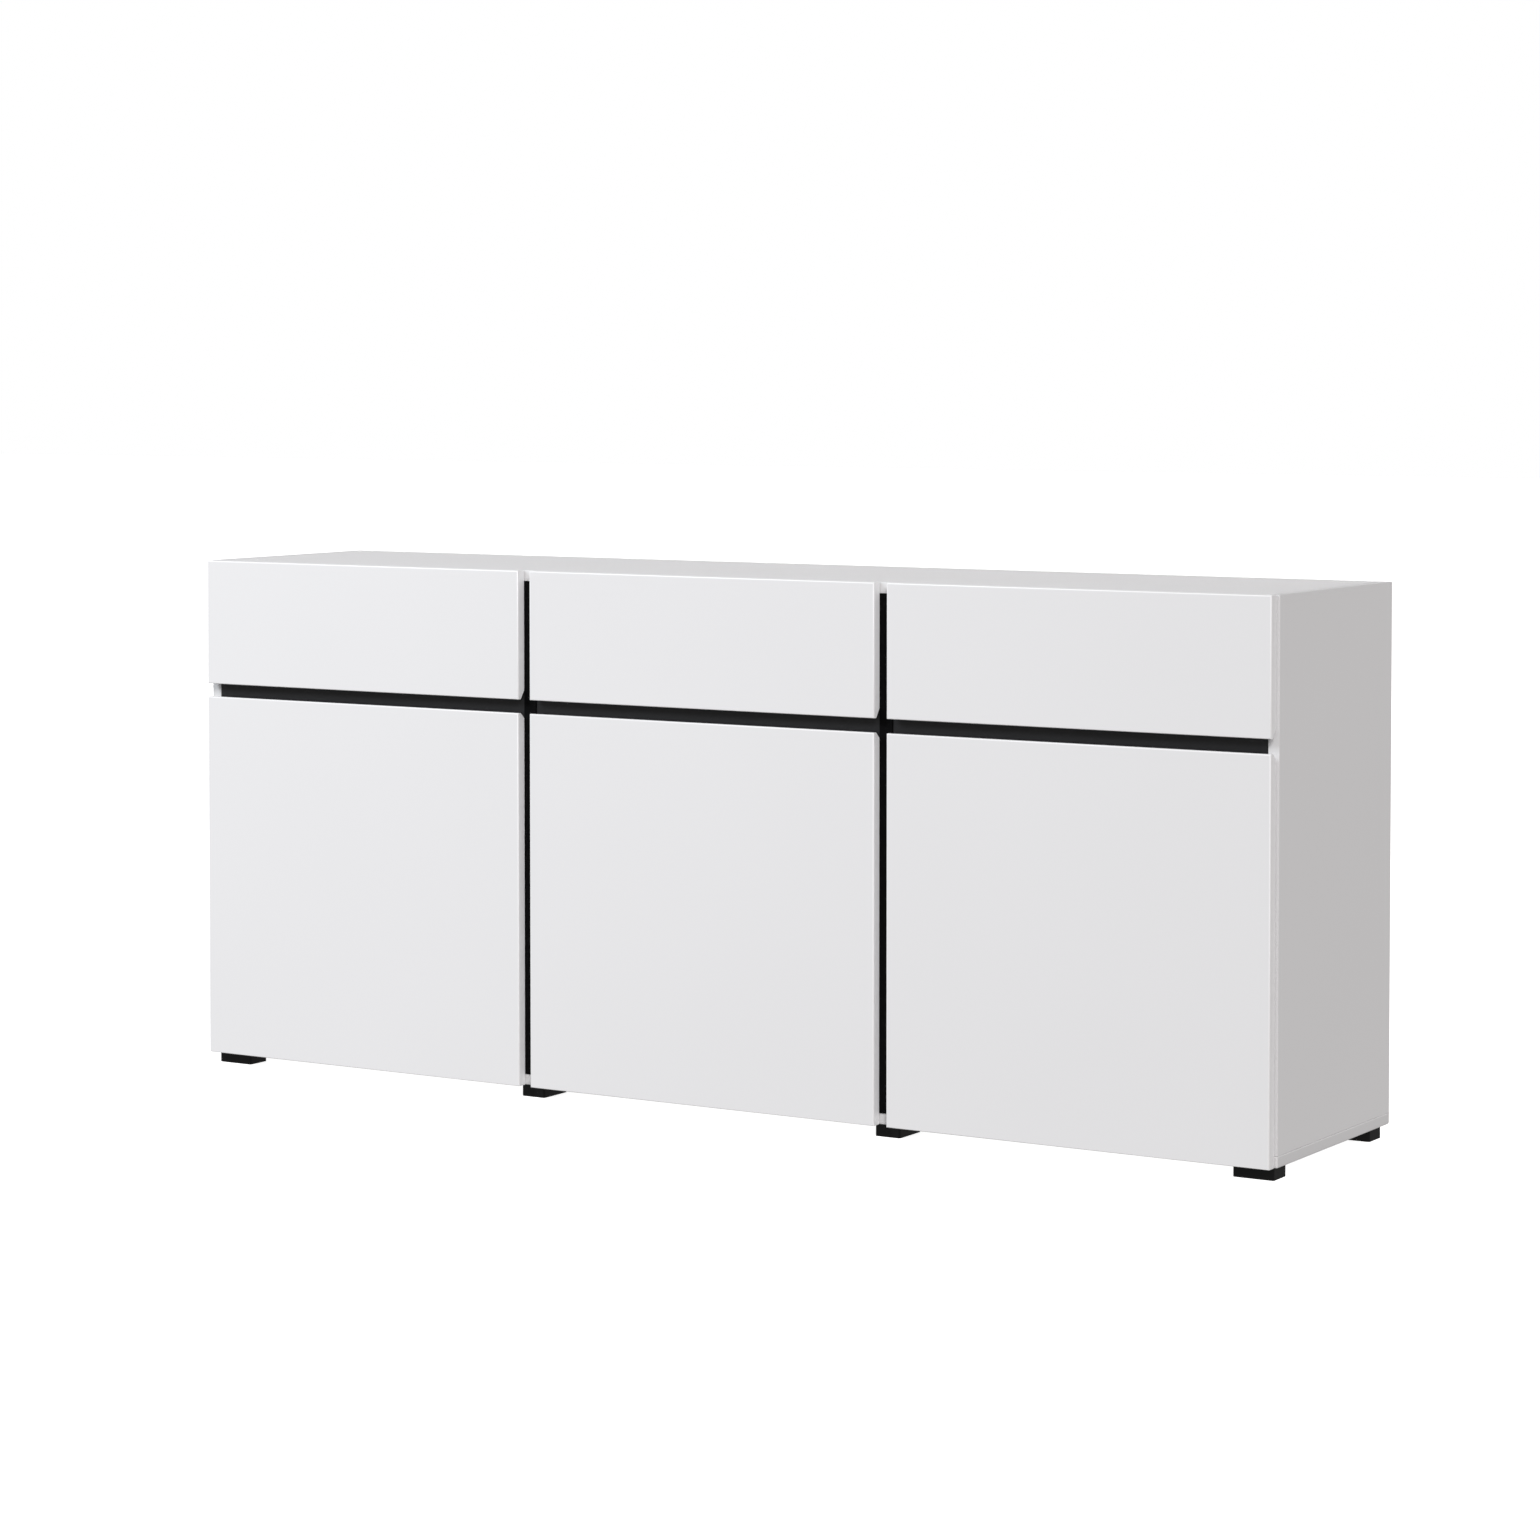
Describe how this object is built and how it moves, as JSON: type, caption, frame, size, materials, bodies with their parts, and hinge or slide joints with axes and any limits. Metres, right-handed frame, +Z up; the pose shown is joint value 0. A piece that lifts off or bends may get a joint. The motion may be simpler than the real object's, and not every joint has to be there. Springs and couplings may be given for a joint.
{
  "type": "sideboard",
  "caption": "Low handleless sideboard on small block feet: drawers above hinged doors, parted by a recessed dark grip channel.",
  "frame": {"origin": "on the floor, in the middle of the footprint", "axes": "+X along the width, to the right of someone who faces the fronts; -Y out of the fronts; +Z up"},
  "size_m": [1.8, 0.396, 0.78],
  "materials": {
    "white_melamine": "matt white melamine-faced chipboard with matching edge band",
    "black_laminate": "matt black melamine-faced chipboard",
    "black_plastic": "moulded, satin",
    "drawer_board": "white foil-wrapped board",
    "white_hardboard": "white painted hardboard",
    "white_steel": "white powder coat",
    "nickel_steel": "nickel-plated pressed steel"
  },
  "bodies": {
    "carcass": {"bottom_panel": "white_melamine", "top_panel": "white_melamine", "side_panel_left": "white_melamine", "side_panel_right": "white_melamine", "partition_left": "white_melamine", "partition_right": "white_melamine", "back_panel": "white_hardboard", "channel_rail": "black_laminate", "foot_front_left": "black_plastic", "foot_front_right": "black_plastic", "foot_middle_left": "black_plastic", "foot_middle_right": "black_plastic", "foot_rear_left": "black_plastic", "foot_rear_right": "black_plastic", "shelf_left": "white_melamine", "slide_left_left": "white_steel", "slide_left_right": "white_steel", "hinge_arm_left_lower": "nickel_steel", "hinge_arm_left_upper": "nickel_steel", "shelf_centre": "white_melamine", "slide_centre_left": "white_steel", "slide_centre_right": "white_steel", "hinge_arm_centre_lower": "nickel_steel", "hinge_arm_centre_upper": "nickel_steel", "shelf_right": "white_melamine", "slide_right_left": "white_steel", "slide_right_right": "white_steel", "hinge_arm_right_lower": "nickel_steel", "hinge_arm_right_upper": "nickel_steel"},
    "drawer_left": {"drawer_front_left": "white_melamine", "drawer_side_left_left": "drawer_board", "drawer_side_left_right": "drawer_board", "drawer_back_left": "drawer_board", "drawer_bottom_left": "white_hardboard", "runner_left_left": "white_steel", "runner_left_right": "white_steel"},
    "drawer_centre": {"drawer_front_centre": "white_melamine", "drawer_side_centre_left": "drawer_board", "drawer_side_centre_right": "drawer_board", "drawer_back_centre": "drawer_board", "drawer_bottom_centre": "white_hardboard", "runner_centre_left": "white_steel", "runner_centre_right": "white_steel"},
    "drawer_right": {"drawer_front_right": "white_melamine", "drawer_side_right_left": "drawer_board", "drawer_side_right_right": "drawer_board", "drawer_back_right": "drawer_board", "drawer_bottom_right": "white_hardboard", "runner_right_left": "white_steel", "runner_right_right": "white_steel"},
    "door_left": {"door_panel_left": "white_melamine", "hinge_cup_left_lower": "nickel_steel", "hinge_cup_left_upper": "nickel_steel"},
    "door_centre": {"door_panel_centre": "white_melamine", "hinge_cup_centre_lower": "nickel_steel", "hinge_cup_centre_upper": "nickel_steel"},
    "door_right": {"door_panel_right": "white_melamine", "hinge_cup_right_lower": "nickel_steel", "hinge_cup_right_upper": "nickel_steel"}
  },
  "joints": [
    {"name": "drawer_left_slide", "type": "slide", "parent": "carcass", "child": "drawer_left", "axis": [0, -1, 0], "range_m": [0, 0.26]},
    {"name": "drawer_centre_slide", "type": "slide", "parent": "carcass", "child": "drawer_centre", "axis": [0, -1, 0], "range_m": [0, 0.26]},
    {"name": "drawer_right_slide", "type": "slide", "parent": "carcass", "child": "drawer_right", "axis": [0, -1, 0], "range_m": [0, 0.26]},
    {"name": "door_left_hinge", "type": "hinge", "parent": "carcass", "child": "door_left", "pos_m": [-0.89, -0.192, 0.294], "axis": [0, 0, -1], "range_deg": [0, 105]},
    {"name": "door_centre_hinge", "type": "hinge", "parent": "carcass", "child": "door_centre", "pos_m": [-0.286, -0.192, 0.294], "axis": [0, 0, -1], "range_deg": [0, 105]},
    {"name": "door_right_hinge", "type": "hinge", "parent": "carcass", "child": "door_right", "pos_m": [0.89, -0.192, 0.294], "axis": [0, 0, 1], "range_deg": [0, 105]}
  ]
}
